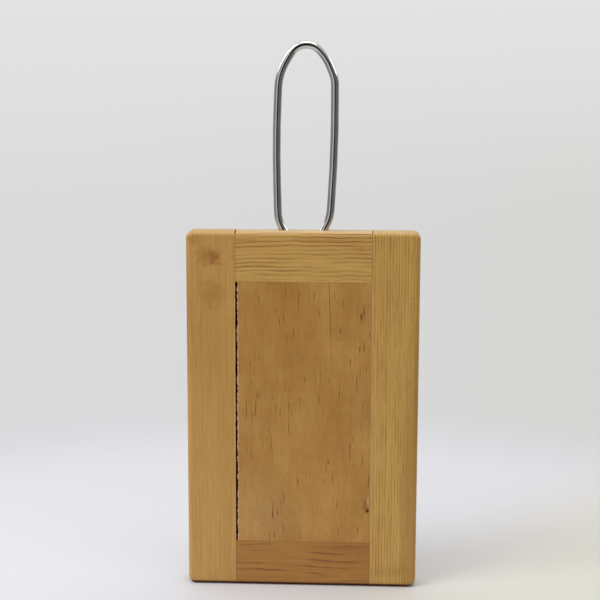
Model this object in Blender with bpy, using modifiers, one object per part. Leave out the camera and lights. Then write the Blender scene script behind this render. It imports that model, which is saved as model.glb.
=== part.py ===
"""Wooden mortar hawk: a framed board with a flush panel and a steel wire loop handle.

The board stands on its short edge, as it is stored. X runs across it, Y through
its thickness, with the working face towards -Y, and Z up. The origin is the
middle of the edge that it stands on. All lengths are in metres.
"""

import math

import bmesh
import bpy
from mathutils import Vector

# Board, glued up and rounded over
BOARD_WIDTH = 0.179
BOARD_THICKNESS = 0.019
BOARD_HEIGHT = 0.280
EDGE_RADIUS = 0.0043
CORNER_RADIUS = {
    ("left", "top"): 0.0055,
    ("right", "top"): 0.0050,
    ("left", "bottom"): 0.0055,
    ("right", "bottom"): 0.0070,
}
CORNER_SEGMENTS = 6
EDGE_SEGMENTS = 4

# Frame: two full-height stiles with two rails between them
LEFT_STILE_WIDTH = 0.038
RIGHT_STILE_WIDTH = 0.0365
TOP_RAIL_HEIGHT = 0.039
BOTTOM_RAIL_HEIGHT = 0.036
JOINT_GAP = 0.0003
SAW_ALLOWANCE = 0.002

# Panel: flush with the working face, held by a tongue in a groove round the frame
PANEL_THICKNESS = 0.012
TONGUE_THICKNESS = 0.006
GROOVE_DEPTH = 0.008
LEFT_PANEL_GAP = 0.0014

# Dowels: two in each corner joint
DOWEL_RADIUS = 0.003
DOWEL_LENGTH = 0.036
DOWEL_CHAMFER = 0.0006
DOWEL_SIDES = 16
TOP_DOWEL_DROPS = (0.0090, 0.0230)
BOTTOM_DOWEL_RISES = (0.0080, 0.0215)

# Wire handle. Each bend is the corner's x, its height above the board's top edge and
# the wire's centre-line radius, from the left foot over the top to the right foot.
WIRE_RADIUS = 0.003
WIRE_BEVEL_RESOLUTION = 4
BEND_STEP = math.radians(7.5)
LEFT_TOE_IN = math.radians(34.0)
RIGHT_TOE_IN = math.radians(28.5)
LEG_DEPTH = 0.0145
HANDLE_BENDS = (
    (-0.01920, 0.0061, 0.0270),
    (-0.02095, 0.0670, 0.8800),
    (-0.01875, 0.1180, 0.0415),
    (-0.00065, 0.1480, 0.0136),
    (0.01690, 0.1297, 0.0357),
    (0.02350, 0.1142, 0.0265),
    (0.02385, 0.0605, 1.0400),
    (0.02040, 0.0089, 0.0297),
)

# Pins that lock the handle's legs, driven in from the back of the top rail
PIN_RADIUS = 0.00125
PIN_HEAD_RADIUS = 0.0022
PIN_HEAD_THICKNESS = 0.0008
PIN_LENGTH = 0.0145
PIN_POINT_LENGTH = 0.0020
PIN_SIDES = 16
PIN_DROP = 0.0090
PIN_SINK = 0.0002

HALF_WIDTH = BOARD_WIDTH / 2
HALF_THICKNESS = BOARD_THICKNESS / 2
LEFT_JOINT_X = LEFT_STILE_WIDTH - HALF_WIDTH
RIGHT_JOINT_X = HALF_WIDTH - RIGHT_STILE_WIDTH
TOP_JOINT_Z = BOARD_HEIGHT - TOP_RAIL_HEIGHT
BOTTOM_JOINT_Z = BOTTOM_RAIL_HEIGHT
TONGUE_BACK_Y = PANEL_THICKNESS - HALF_THICKNESS
TONGUE_FRONT_Y = TONGUE_BACK_Y - TONGUE_THICKNESS


def clear_scene():
    for old in list(bpy.data.objects):
        bpy.data.objects.remove(old, do_unlink=True)


def new_collection(name):
    collection = bpy.data.collections.new(name)
    bpy.context.scene.collection.children.link(collection)
    return collection


def new_material(name, color, roughness, metallic=0.0):
    material = bpy.data.materials.new(name)
    material.use_nodes = True
    shader = material.node_tree.nodes["Principled BSDF"]
    shader.inputs["Base Color"].default_value = (*color, 1.0)
    shader.inputs["Roughness"].default_value = roughness
    shader.inputs["Metallic"].default_value = metallic
    return material


def add_part(name, mesh, material):
    mesh.materials.append(material)
    obj = bpy.data.objects.new(name, mesh)
    parts.objects.link(obj)
    obj.parent = board_origin
    return obj


def add_cutter(name, mesh):
    obj = bpy.data.objects.new(name, mesh)
    cutters.objects.link(obj)
    obj.hide_render = True
    obj.display_type = "WIRE"
    return obj


def mesh_from(shape, name):
    mesh = bpy.data.meshes.new(name)
    shape.to_mesh(mesh)
    shape.free()
    return mesh


def box_mesh(name, size):
    shape = bmesh.new()
    bmesh.ops.create_cube(shape, size=1.0)
    bmesh.ops.scale(shape, vec=size, verts=shape.verts)
    return mesh_from(shape, name)


def part_box(name, low, high, material):
    low, high = Vector(low), Vector(high)
    obj = add_part(name, box_mesh(name, high - low), material)
    obj.location = (low + high) / 2
    return obj


def cutter_box(name, low, high):
    low, high = Vector(low), Vector(high)
    obj = add_cutter(name, box_mesh(name, high - low))
    obj.location = (low + high) / 2
    return obj


def boolean(obj, other, operation):
    modifier = obj.modifiers.new(f"{operation.lower()} {other.name}", "BOOLEAN")
    modifier.operation = operation
    modifier.solver = "EXACT"
    modifier.object = other


def bevel_sharp_edges(obj, width, segments):
    bevel = obj.modifiers.new("bevel", "BEVEL")
    bevel.width = width
    bevel.segments = segments
    bevel.limit_method = "ANGLE"
    bevel.angle_limit = math.radians(60.0)


def shade_round(mesh):
    mesh.shade_smooth()
    mesh.set_sharp_from_angle(angle=math.radians(35.0))


# Frame


def make_board_outline():
    """The glued-up board's outer shape, with its corners and edges rounded."""
    outline = cutter_box(
        "board_outline",
        (-HALF_WIDTH, -HALF_THICKNESS, 0.0),
        (HALF_WIDTH, HALF_THICKNESS, BOARD_HEIGHT),
    )
    shape = bmesh.new()
    shape.from_mesh(outline.data)
    for (side, end), radius in CORNER_RADIUS.items():
        side_sign = -1 if side == "left" else 1
        end_sign = -1 if end == "bottom" else 1
        corner = [
            edge
            for edge in shape.edges
            if all(vert.co.x * side_sign > 0 and vert.co.z * end_sign > 0 for vert in edge.verts)
        ]
        bmesh.ops.bevel(
            shape,
            geom=corner,
            offset=radius,
            offset_type="OFFSET",
            segments=CORNER_SEGMENTS,
            profile=0.5,
            affect="EDGES",
        )
    shape.to_mesh(outline.data)
    shape.free()
    bevel_sharp_edges(outline, EDGE_RADIUS, EDGE_SEGMENTS)
    return outline


def make_panel_groove():
    return cutter_box(
        "panel_groove",
        (LEFT_JOINT_X - GROOVE_DEPTH, TONGUE_FRONT_Y - JOINT_GAP, BOTTOM_JOINT_Z - GROOVE_DEPTH),
        (RIGHT_JOINT_X + GROOVE_DEPTH, TONGUE_BACK_Y + JOINT_GAP, TOP_JOINT_Z + GROOVE_DEPTH),
    )


def make_frame_member(name, x_range, z_range, material):
    """A stick sawn over size, then shaped by the board's outline and cut for its joints."""
    over = HALF_THICKNESS + SAW_ALLOWANCE
    low = (x_range[0], -over, z_range[0])
    high = (x_range[1], over, z_range[1])
    member = part_box(name, low, high, material)
    boolean(member, board_outline, "INTERSECT")
    boolean(member, panel_groove, "DIFFERENCE")
    boolean(member, dowel_holes, "DIFFERENCE")
    return member


def make_frame():
    below = -SAW_ALLOWANCE
    above = BOARD_HEIGHT + SAW_ALLOWANCE
    left_side = -HALF_WIDTH - SAW_ALLOWANCE
    right_side = HALF_WIDTH + SAW_ALLOWANCE
    rail_span = (LEFT_JOINT_X + JOINT_GAP, RIGHT_JOINT_X - JOINT_GAP)
    make_frame_member("left_stile", (left_side, LEFT_JOINT_X), (below, above), left_pine)
    make_frame_member("right_stile", (RIGHT_JOINT_X, right_side), (below, above), right_pine)
    make_frame_member("bottom_rail", rail_span, (below, BOTTOM_JOINT_Z), red_pine)
    top_rail = make_frame_member("top_rail", rail_span, (TOP_JOINT_Z, above), top_pine)
    boolean(top_rail, leg_holes, "DIFFERENCE")
    boolean(top_rail, pin_holes, "DIFFERENCE")


# Panel


def make_panel():
    """The panel's front fills the frame's opening. Its thinner edge is the tongue."""
    tongue_low = (
        LEFT_JOINT_X - GROOVE_DEPTH + LEFT_PANEL_GAP,
        TONGUE_FRONT_Y,
        BOTTOM_JOINT_Z - GROOVE_DEPTH + JOINT_GAP,
    )
    tongue_high = (
        RIGHT_JOINT_X + GROOVE_DEPTH - JOINT_GAP,
        TONGUE_BACK_Y,
        TOP_JOINT_Z + GROOVE_DEPTH - JOINT_GAP,
    )
    field_low = (LEFT_JOINT_X + LEFT_PANEL_GAP, -HALF_THICKNESS, BOTTOM_JOINT_Z + JOINT_GAP)
    field_high = (
        RIGHT_JOINT_X - JOINT_GAP,
        (TONGUE_FRONT_Y + TONGUE_BACK_Y) / 2,
        TOP_JOINT_Z - JOINT_GAP,
    )
    panel = part_box("panel", tongue_low, tongue_high, brown_panel)
    panel_field = cutter_box("panel_field", field_low, field_high)
    boolean(panel, panel_field, "UNION")


# Dowels


def dowel_places():
    """The name and centre of each dowel, joint by joint."""
    places = []
    for side, joint_x in (("left", LEFT_JOINT_X), ("right", RIGHT_JOINT_X)):
        for number, drop in enumerate(TOP_DOWEL_DROPS, start=1):
            places.append((f"dowel_top_{side}_{number}", (joint_x, 0.0, BOARD_HEIGHT - drop)))
        for number, rise in enumerate(BOTTOM_DOWEL_RISES, start=1):
            places.append((f"dowel_bottom_{side}_{number}", (joint_x, 0.0, rise)))
    return places


def add_rod(shape, radius, length):
    """A round rod along Z, centred on the origin."""
    rod = bmesh.ops.create_cone(
        shape,
        cap_ends=True,
        segments=DOWEL_SIDES,
        radius1=radius,
        radius2=radius,
        depth=length,
    )
    return rod["verts"]


def make_dowels():
    for name, centre in dowel_places():
        shape = bmesh.new()
        add_rod(shape, DOWEL_RADIUS, DOWEL_LENGTH)
        dowel = add_part(name, mesh_from(shape, name), beech)
        shade_round(dowel.data)
        dowel.location = centre
        dowel.rotation_euler = (0.0, math.pi / 2, 0.0)
        bevel_sharp_edges(dowel, DOWEL_CHAMFER, 1)


def make_dowel_holes():
    """One cutter with a slightly larger rod at each dowel."""
    shape = bmesh.new()
    along_x = Vector((1.0, 0.0, 0.0)).to_track_quat("Z", "Y").to_matrix()
    for _, centre in dowel_places():
        rod = add_rod(shape, DOWEL_RADIUS + JOINT_GAP, DOWEL_LENGTH + 2 * JOINT_GAP)
        bmesh.ops.rotate(shape, verts=rod, cent=(0.0, 0.0, 0.0), matrix=along_x)
        bmesh.ops.translate(shape, verts=rod, vec=centre)
    return add_cutter("dowel_holes", mesh_from(shape, "dowel_holes"))


# Wire handle


def leg_end(foot_x, foot_rise, toe_in, depth):
    """Where a straight leg is at a depth below the board's top edge."""
    inward = -math.copysign(math.tan(toe_in), foot_x)
    return Vector((foot_x + inward * (foot_rise + depth), 0.0, BOARD_HEIGHT - depth))


def round_corner(before, corner, after, radius):
    """Points along the arc that rounds one corner of a path."""
    back = (before - corner).normalized()
    ahead = (after - corner).normalized()
    turn = math.pi - back.angle(ahead)
    reach = radius * math.tan(turn / 2)
    centre = corner + (back + ahead).normalized() * (radius / math.cos(turn / 2))
    first_arm = (corner + back * reach - centre).normalized()
    last_arm = (corner + ahead * reach - centre).normalized()
    steps = max(2, math.ceil(turn / BEND_STEP))
    return [centre + first_arm.slerp(last_arm, step / steps) * radius for step in range(steps + 1)]


def handle_path():
    """The wire's centre line, from the end of the left leg to the end of the right one."""
    left_foot, right_foot = HANDLE_BENDS[0], HANDLE_BENDS[-1]
    corners = [Vector((x, 0.0, BOARD_HEIGHT + rise)) for x, rise, _ in HANDLE_BENDS]
    corners.insert(0, leg_end(left_foot[0], left_foot[1], LEFT_TOE_IN, LEG_DEPTH))
    corners.append(leg_end(right_foot[0], right_foot[1], RIGHT_TOE_IN, LEG_DEPTH))
    path = [corners[0]]
    for index, (_, _, radius) in enumerate(HANDLE_BENDS, start=1):
        path += round_corner(corners[index - 1], corners[index], corners[index + 1], radius)
    path.append(corners[-1])
    return path


def wire_mesh(name, runs, radius):
    """Round wire along each run of points, as one mesh with its ends closed."""
    curve = bpy.data.curves.new(name, "CURVE")
    curve.dimensions = "3D"
    curve.bevel_depth = radius
    curve.bevel_resolution = WIRE_BEVEL_RESOLUTION
    curve.use_fill_caps = True
    for run in runs:
        spline = curve.splines.new("POLY")
        spline.points.add(len(run) - 1)
        for point, place in zip(spline.points, run):
            point.co = (*place, 1.0)
    guide = bpy.data.objects.new(name, curve)
    cutters.objects.link(guide)
    evaluated = guide.evaluated_get(bpy.context.evaluated_depsgraph_get())
    mesh = bpy.data.meshes.new_from_object(evaluated)
    bpy.data.objects.remove(guide, do_unlink=True)
    shape = bmesh.new()
    shape.from_mesh(mesh)
    bmesh.ops.remove_doubles(shape, verts=shape.verts, dist=0.00001)
    bmesh.ops.recalc_face_normals(shape, faces=shape.faces)
    shape.to_mesh(mesh)
    shape.free()
    mesh.name = name
    return mesh


def make_wire_handle():
    handle = add_part("wire_handle", wire_mesh("wire_handle", [handle_path()], WIRE_RADIUS), steel)
    shade_round(handle.data)
    boolean(handle, pin_holes, "DIFFERENCE")


def make_leg_holes():
    """Two slanting holes in the top rail, a little wider and deeper than the legs."""
    runs = []
    for (foot_x, foot_rise, _), toe_in in (
        (HANDLE_BENDS[0], LEFT_TOE_IN),
        (HANDLE_BENDS[-1], RIGHT_TOE_IN),
    ):
        mouth = leg_end(foot_x, foot_rise, toe_in, -SAW_ALLOWANCE)
        bottom = leg_end(foot_x, foot_rise, toe_in, LEG_DEPTH + JOINT_GAP)
        runs.append([mouth, bottom])
    return add_cutter("leg_holes", wire_mesh("leg_holes", runs, WIRE_RADIUS + JOINT_GAP))


# Handle pins


def pin_places():
    """The name and the middle of the head of each pin, on the board's back face."""
    places = []
    for side, (foot_x, foot_rise, _), toe_in in (
        ("left", HANDLE_BENDS[0], LEFT_TOE_IN),
        ("right", HANDLE_BENDS[-1], RIGHT_TOE_IN),
    ):
        on_leg = leg_end(foot_x, foot_rise, toe_in, PIN_DROP)
        places.append((f"handle_pin_{side}", on_leg + Vector((0.0, HALF_THICKNESS - PIN_SINK, 0.0))))
    return places


def pin_profile(clearance):
    """Half the pin's outline, from the middle of its head to its point, down Z."""
    head = PIN_HEAD_RADIUS + clearance
    shank = PIN_RADIUS + clearance
    top = PIN_SINK + SAW_ALLOWANCE if clearance else 0.0
    return (
        (0.0, top),
        (head, top),
        (head, -PIN_HEAD_THICKNESS - clearance),
        (shank, -PIN_HEAD_THICKNESS - clearance),
        (shank, PIN_POINT_LENGTH - PIN_LENGTH),
        (0.0, -PIN_LENGTH - clearance),
    )


def turned_mesh(name, profile):
    mesh = bpy.data.meshes.new(name)
    points = [(x, 0.0, z) for x, z in profile]
    edges = [(index, index + 1) for index in range(len(points) - 1)]
    mesh.from_pydata(points, edges, [])
    return mesh


def turn(obj):
    """Turn a profile into a solid, with its Z axis along the board's +Y."""
    screw = obj.modifiers.new("turned", "SCREW")
    screw.axis = "Z"
    screw.steps = PIN_SIDES
    screw.render_steps = PIN_SIDES
    screw.use_merge_vertices = True
    screw.merge_threshold = 0.00001
    obj.rotation_euler = (-math.pi / 2, 0.0, 0.0)


def make_pins():
    for name, place in pin_places():
        pin = add_part(name, turned_mesh(name, pin_profile(0.0)), steel)
        pin.location = place
        turn(pin)


def make_pin_holes():
    """One cutter with both pins' holes, which pass through the handle's legs."""
    holes = []
    for name, place in pin_places():
        hole = add_cutter(f"{name}_hole", turned_mesh(name, pin_profile(JOINT_GAP)))
        hole.location = place
        turn(hole)
        holes.append(hole)
    boolean(holes[0], holes[1], "UNION")
    return holes[0]


clear_scene()
parts = new_collection("mortar_hawk")
cutters = new_collection("cutters")
board_origin = bpy.data.objects.new("board_origin", None)
parts.objects.link(board_origin)

left_pine = new_material("left_pine", (0.386, 0.216, 0.065), 0.50)
right_pine = new_material("right_pine", (0.376, 0.223, 0.067), 0.50)
top_pine = new_material("top_pine", (0.379, 0.226, 0.071), 0.50)
red_pine = new_material("red_pine", (0.301, 0.138, 0.037), 0.50)
brown_panel = new_material("brown_panel", (0.342, 0.184, 0.058), 0.55)
beech = new_material("beech", (0.520, 0.330, 0.170), 0.60)
steel = new_material("steel", (0.600, 0.590, 0.570), 0.22, metallic=1.0)

board_outline = make_board_outline()
panel_groove = make_panel_groove()
dowel_holes = make_dowel_holes()
leg_holes = make_leg_holes()
pin_holes = make_pin_holes()

make_frame()
make_panel()
make_dowels()
make_wire_handle()
make_pins()
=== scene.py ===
import math

import bmesh
import bpy
from mathutils import Matrix, Vector


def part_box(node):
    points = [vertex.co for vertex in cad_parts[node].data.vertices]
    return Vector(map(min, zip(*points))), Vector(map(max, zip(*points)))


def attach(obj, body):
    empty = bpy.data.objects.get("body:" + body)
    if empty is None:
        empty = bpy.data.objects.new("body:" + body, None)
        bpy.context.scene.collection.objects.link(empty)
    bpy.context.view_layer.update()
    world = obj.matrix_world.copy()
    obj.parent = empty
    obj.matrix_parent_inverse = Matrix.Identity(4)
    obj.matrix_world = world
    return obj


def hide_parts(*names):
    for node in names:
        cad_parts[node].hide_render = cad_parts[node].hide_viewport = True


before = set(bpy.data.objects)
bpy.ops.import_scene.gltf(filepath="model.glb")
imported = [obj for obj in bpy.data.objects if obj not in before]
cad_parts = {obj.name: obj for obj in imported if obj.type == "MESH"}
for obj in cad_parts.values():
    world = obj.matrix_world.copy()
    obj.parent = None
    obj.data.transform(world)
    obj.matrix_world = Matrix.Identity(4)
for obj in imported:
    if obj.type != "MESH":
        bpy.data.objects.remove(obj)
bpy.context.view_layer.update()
print("frame loaded:", len(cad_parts), "nodes")

mm = 0.001
boardLow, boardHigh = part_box("left_stile")
boardHigh.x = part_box("right_stile")[1].x
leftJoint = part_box("left_stile")[1].x
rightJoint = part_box("right_stile")[0].x
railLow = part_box("top_rail")[0]
panelLow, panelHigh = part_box("panel")
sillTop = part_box("bottom_rail")[1].z


def clearPick():
    # nothing chosen, and out of edit mode
    if bpy.context.object and bpy.context.object.mode != "OBJECT":
        bpy.ops.object.mode_set(mode="OBJECT")
    bpy.ops.object.select_all(action="DESELECT")


def workOn(piece):
    clearPick()
    piece.select_set(True)
    bpy.context.view_layer.objects.active = piece


def openMesh(piece):
    workOn(piece)
    bpy.ops.object.mode_set(mode="EDIT")
    bpy.ops.mesh.select_all(action="DESELECT")


def closeMesh():
    bpy.ops.object.mode_set(mode="OBJECT")


def pickParts(piece, kind, parts, test):
    # exactly those edges, faces or corners that pass the test
    bpy.ops.mesh.select_mode(type=kind)
    bpy.ops.mesh.select_all(action="DESELECT")
    shape = bmesh.from_edit_mesh(piece.data)
    for part in getattr(shape, parts):
        if test(part):
            part.select = True
    shape.select_flush_mode()
    bmesh.update_edit_mesh(piece.data)


def pickEdges(piece, test):
    pickParts(piece, "EDGE", "edges", lambda edge: test(edge.verts[0].co, edge.verts[1].co))


def pickFaces(piece, test):
    pickParts(piece, "FACE", "faces", lambda face: test(face.calc_center_median(), face.normal))


def pickVerts(piece, test):
    pickParts(piece, "VERT", "verts", lambda vert: test(vert.co))


def near(a, b, reach=0.02 * mm):
    # the same place, for picking
    return abs(a - b) < reach


def roundEdges(radius, steps):
    bpy.ops.mesh.bevel(offset=radius, offset_type="OFFSET", segments=steps, profile=0.5, affect="EDGES")


def addBlock(name, low, high):
    clearPick()
    low, high = Vector(low), Vector(high)
    bpy.ops.mesh.primitive_cube_add(size=1.0, location=(low + high) / 2)
    piece = bpy.context.object
    piece.name = name
    piece.scale = high - low
    bpy.ops.object.transform_apply(location=True, rotation=True, scale=True)
    return piece


def cutWith(piece, cutter, crossesItself=False):
    workOn(piece)
    cut = piece.modifiers.new("cut", "BOOLEAN")
    cut.operation = "DIFFERENCE"
    cut.solver = "EXACT"
    cut.use_self = crossesItself
    cut.object = cutter
    bpy.ops.object.modifier_apply(modifier=cut.name)


def throwAway(piece):
    bpy.data.objects.remove(piece, do_unlink=True)


def smoothOff(piece, degrees=35.0):
    workOn(piece)
    bpy.ops.object.shade_smooth_by_angle(angle=math.radians(degrees))
    weighted = piece.modifiers.new("flat faces first", "WEIGHTED_NORMAL")
    weighted.keep_sharp = True
    bpy.ops.object.modifier_apply(modifier=weighted.name)


def finishPiece(piece, material, node):
    # its material, the body it rides on, and the CAD node it stands for
    piece.data.materials.clear()
    piece.data.materials.append(material)
    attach(piece, "root")
    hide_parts(node)


cameraFacts = {
    "azimuth": 2.675,
    "elevation": 8.063,
    "roll": 0.182,
    "distance": 0.9640,
    "lookAt": (-1.88 * mm, -9.5 * mm, 227.3 * mm),
    "lens": 75.78,
    "sensor": 36.0,
    "clip": (0.05, 30.0),
}


def makeCamera(facts):
    # from in front of the board, a little to its right and above, level but for a slight roll
    turnAngle = math.radians(facts["azimuth"])
    tilt = math.radians(facts["elevation"])
    roll = math.radians(facts["roll"])
    back = Vector((
        math.sin(turnAngle) * math.cos(tilt),
        -math.cos(turnAngle) * math.cos(tilt),
        math.sin(tilt),
    ))
    right = Vector((math.cos(turnAngle), math.sin(turnAngle), 0.0))
    up = back.cross(right)
    rolledRight = right * math.cos(roll) + up * math.sin(roll)
    rolledUp = up * math.cos(roll) - right * math.sin(roll)
    lens = bpy.data.cameras.new("camera")
    lens.lens = facts["lens"]
    lens.sensor_width = facts["sensor"]
    lens.clip_start, lens.clip_end = facts["clip"]
    camera = bpy.data.objects.new("camera", lens)
    bpy.context.scene.collection.objects.link(camera)
    place = Matrix((rolledRight, rolledUp, back)).transposed().to_4x4()
    place.translation = Vector(facts["lookAt"]) + back * facts["distance"]
    camera.matrix_world = place
    bpy.context.scene.camera = camera


makeCamera(cameraFacts)
print("camera placed")


class Shade:
    # one output of a node, which ordinary sums can use
    def __init__(self, paint, socket):
        self.paint = paint
        self.socket = socket

    def sum(self, operation, other, swapped=False):
        first, second = (other, self) if swapped else (self, other)
        return self.paint.add("Math", {"operation": operation}, {0: first, 1: second})

    def __add__(self, other):
        return self.sum("ADD", other)

    def __radd__(self, other):
        return self.sum("ADD", other, True)

    def __sub__(self, other):
        return self.sum("SUBTRACT", other)

    def __rsub__(self, other):
        return self.sum("SUBTRACT", other, True)

    def __mul__(self, other):
        return self.sum("MULTIPLY", other)

    def __rmul__(self, other):
        return self.sum("MULTIPLY", other, True)

    def __truediv__(self, other):
        return self.sum("DIVIDE", other)

    def __rtruediv__(self, other):
        return self.sum("DIVIDE", other, True)

    def __abs__(self):
        return self.paint.maths("ABSOLUTE", self)


class Paint:
    # one material or world, and the nodes added to it
    def __init__(self, name, owner=None):
        self.owner = owner or bpy.data.materials.new(name)
        self.owner.use_nodes = True
        self.tree = self.owner.node_tree
        self.tree.nodes.clear()

    def add(self, kind, settings=None, inputs=None, output=0):
        # a new node: its settings, then its sockets' values or links
        node = self.tree.nodes.new("ShaderNode" + kind)
        for key, value in (settings or {}).items():
            if key == "stops":
                self.setStops(node.color_ramp, value)
            elif key == "between":
                node.color_ramp.interpolation = value
            else:
                setattr(node, key, value)
        for key, value in (inputs or {}).items():
            if isinstance(value, Shade):
                self.tree.links.new(value.socket, node.inputs[key])
            else:
                node.inputs[key].default_value = value
        return Shade(self, node.outputs[output]) if len(node.outputs) else None

    def setStops(self, ramp, stops):
        while len(ramp.elements) < len(stops):
            ramp.elements.new(0.5)
        for element, (place, level) in zip(ramp.elements, stops):
            element.position = place
            element.color = (level, level, level, 1.0)

    def mix(self, amount, first, second):
        def color(value):
            return value if isinstance(value, Shade) else (*value, 1.0)
        return self.add(
            "Mix", {"data_type": "RGBA"}, {0: amount, 6: color(first), 7: color(second)}, output=2
        )

    def curve(self, value, stops):
        # a number turned into another, along straight lines between the stops
        return self.add("ValToRGB", {"stops": stops, "between": "LINEAR"}, {0: value})

    def rise(self, value, low, high):
        # 0 below low and 1 above high, smooth between
        return self.add(
            "MapRange",
            {"interpolation_type": "SMOOTHSTEP"},
            {"Value": value, "From Min": low, "From Max": high},
        )

    def fall(self, value, low, high):
        # 1 below low and 0 above high
        return 1.0 - self.rise(value, low, high)

    def maths(self, operation, first, second=0.0):
        return self.add("Math", {"operation": operation}, {0: first, 1: second})

    def noise(self, where, kind, seed=0.0):
        # a kind is how many times it changes in a metre each way, detail, roughness, seed step
        (byX, byY, byZ), detail, rough, step = kind
        x, y, z = where
        place = self.add("CombineXYZ", {}, {0: x * byX + (seed + step), 1: y * byY, 2: z * byZ})
        return self.add(
            "TexNoise",
            {"noise_dimensions": "3D"},
            {"Vector": place, "Scale": 1.0, "Detail": detail, "Roughness": rough},
        )

    def grain(self, where, kinds, seed=0.0):
        # one noise of each kind
        return {name: self.noise(where, kind, seed) for name, kind in kinds.items()}

    def objectPlace(self):
        place = self.add("TexCoord", {}, {}, "Object")
        return [self.add("SeparateXYZ", {}, {0: place}, axis) for axis in range(3)]

    def bump(self, height, strength, depth):
        return self.add("Bump", {}, {"Strength": strength, "Distance": depth, "Height": height})

    def surface(self, shader):
        self.add("OutputMaterial", {}, {"Surface": shader})
        return self.owner


markFacts = {
    "ragged": ((260, 260, 0), 3.0, 0.6, 17.0),
    "front": (-7.5 * mm, -5.0 * mm),
    "core": 0.2,
    "rim": 1.3,
    "strokeEdge": 0.4,
    "strokeEnds": (0.3, 0.5),
}


def stainMask(paint, across, along, ragged, stain):
    # a soft patch round a point of the face
    side = (across - stain["across"]) * (1.0 / stain["wide"])
    down = (along - stain["along"]) * (1.0 / stain["tall"])
    size = paint.maths("SQRT", side * side + down * down) + ragged * stain["ragged"]
    return paint.fall(size, stain.get("core", markFacts["core"]), markFacts["rim"]) * stain["strength"]


def strokeMask(paint, across, along, ragged, scar):
    # a short thin mark: a scratch, a check in the grain
    line = across - scar["across"] - (along - scar["along"]) * scar["lean"] + ragged * scar["shake"]
    edge = paint.fall(abs(line), scar["wide"] * markFacts["strokeEdge"], scar["wide"])
    whole, gone = markFacts["strokeEnds"]
    ends = paint.fall(abs(along - scar["along"]), scar["long"] * whole, scar["long"] * gone)
    return edge * ends * scar["strength"]


def addMarks(paint, color, across, through, along, facts):
    # stains and strokes on the front, and deep stains right through
    facing = paint.fall(through, *markFacts["front"])
    ragged = paint.noise((across, along, along), markFacts["ragged"], facts["seed"]) - 0.5
    for stain in facts.get("stains", ()):
        mask = stainMask(paint, across, along, ragged, stain)
        mask = mask if stain.get("deep") else mask * facing
        color = paint.mix(mask, color, stain["color"])
    for scar in facts.get("scars", ()):
        mask = strokeMask(paint, across, along, ragged, scar) * facing
        color = paint.mix(mask, color, scar["color"])
    return color


paintedLightAndGrimeFacts = {
    # the dull dark used for the painted shadow and shade, and for the seams
    "color": (0.095, 0.022, 0.010),
    "splinter": (0.700, 0.430, 0.285),
    "tufts": ((1100, 300, 520), 2.0, 0.5, 19.0),
    # the pale crown is painted top light, the dark foot is painted shadow under the board, the dark walls
    # are painted shade inside the joints
    "paintedTopLight": (277.6 * mm, 279.8 * mm),
    "foot": (1.7 * mm, 3.0 * mm),
    "footAmount": 0.95,
    "wallFront": (-9.35 * mm, -8.7 * mm),
    "wallRear": (-3.0 * mm, -1.5 * mm),
    "wallFade": 0.2 * mm,
    "seam": (0.14 * mm, 0.34 * mm),
    "seamTufts": (0.40, 0.60),
    "seamLeast": 0.45,
    "seamMore": 0.45,
    "rim": (0.6 * mm, 1.3 * mm),
    "rimTufts": (0.38, 0.60),
    "gapMiddle": 138.0 * mm,
    "gapReach": (100.0 * mm, 103.0 * mm),
}


def addPaintedLightAndGrime(paint, color, x, through, z, facts):
    # painted top light on the pale crown, painted shadow along the dark foot, painted shade on the dark
    # walls inside the joints, dark lines along the seams, pale splinters beside the open gap
    lightAndGrime = paintedLightAndGrimeFacts
    if "paintedTopLight" in facts:
        # painted top light: the crown made paler where it faces up
        paintedTopLight = paint.rise(z, *lightAndGrime["paintedTopLight"])
        color = paint.mix(paintedTopLight * facts["paintedTopLightAmount"], color, facts["paintedTopLight"])
    # painted shadow along the foot, then painted shade on the walls inside the joints
    dark = paint.fall(z, *lightAndGrime["foot"]) * lightAndGrime["footAmount"]
    inside = paint.rise(through, *lightAndGrime["wallFront"]) * paint.fall(through, *lightAndGrime["wallRear"])
    tufts = paint.noise((x, through, z), lightAndGrime["tufts"], facts["seed"])
    for wall, reach in facts["walls"]:
        beside = paint.fall(abs(x - wall), reach, reach + lightAndGrime["wallFade"])
        dark = paint.maths("MAXIMUM", dark, inside * beside)
    for seam in facts.get("seams", ()):
        line = paint.fall(abs(x - seam), *lightAndGrime["seam"])
        patchy = paint.rise(tufts, *lightAndGrime["seamTufts"]) * lightAndGrime["seamMore"] + lightAndGrime["seamLeast"]
        dark = paint.maths("MAXIMUM", dark, line * patchy)
    if "rim" in facts:
        rim = paint.fall(abs(x - facts["rim"]), *lightAndGrime["rim"])
        rim = rim * (1.0 - inside) * paint.rise(tufts, *lightAndGrime["rimTufts"])
        rim = rim * paint.fall(abs(z - lightAndGrime["gapMiddle"]), *lightAndGrime["gapReach"])
        color = paint.mix(rim * facts["tufts"], color, lightAndGrime["splinter"])
    return color, dark


def addDullDark(paint, shader, dark):
    # dirt and shade have no gloss of their own
    dull = paint.add("BsdfDiffuse", {}, {"Color": (*paintedLightAndGrimeFacts["color"], 1.0)})
    return paint.surface(paint.add("MixShader", {}, {0: dark, 1: shader, 2: dull}))


speckFacts = {"noise": ((330, 330, 240), 1.0, 0.4, 13.0), "range": (0.785, 0.815), "amount": 0.35}


def addSpecks(paint, color, where, seed, tint):
    speck = paint.noise(where, speckFacts["noise"], seed)
    return paint.mix(paint.rise(speck, *speckFacts["range"]) * speckFacts["amount"], color, tint)


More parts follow.
